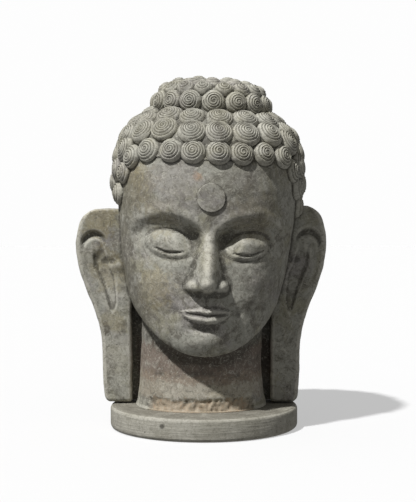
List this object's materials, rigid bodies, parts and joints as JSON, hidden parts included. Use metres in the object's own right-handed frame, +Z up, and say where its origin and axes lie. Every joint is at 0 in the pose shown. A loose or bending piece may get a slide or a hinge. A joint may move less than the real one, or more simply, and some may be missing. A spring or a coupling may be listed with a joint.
{
  "type": "stone buddha head",
  "caption": "Carved stone head with snail-curl hair, a crown bump, a forehead disc and long ear lobes, bedded on a low round stone base.",
  "frame": {"origin": "centre of the round base's underside, on the ground", "axes": "+Z up, the face looks along -Y, +X is the viewer's right when facing it"},
  "size_m": [0.3594, 0.3103, 0.5002],
  "materials": {
    "carved_stone": "weathered grey-brown carved stone with ochre and violet stains, fine pits and paler worn edges",
    "base_stone": "tooled greenish-grey stone, smoother than the head, with small pits"
  },
  "bodies": {
    "root": {"head": "carved_stone", "round_base": "base_stone"}
  },
  "joints": []
}
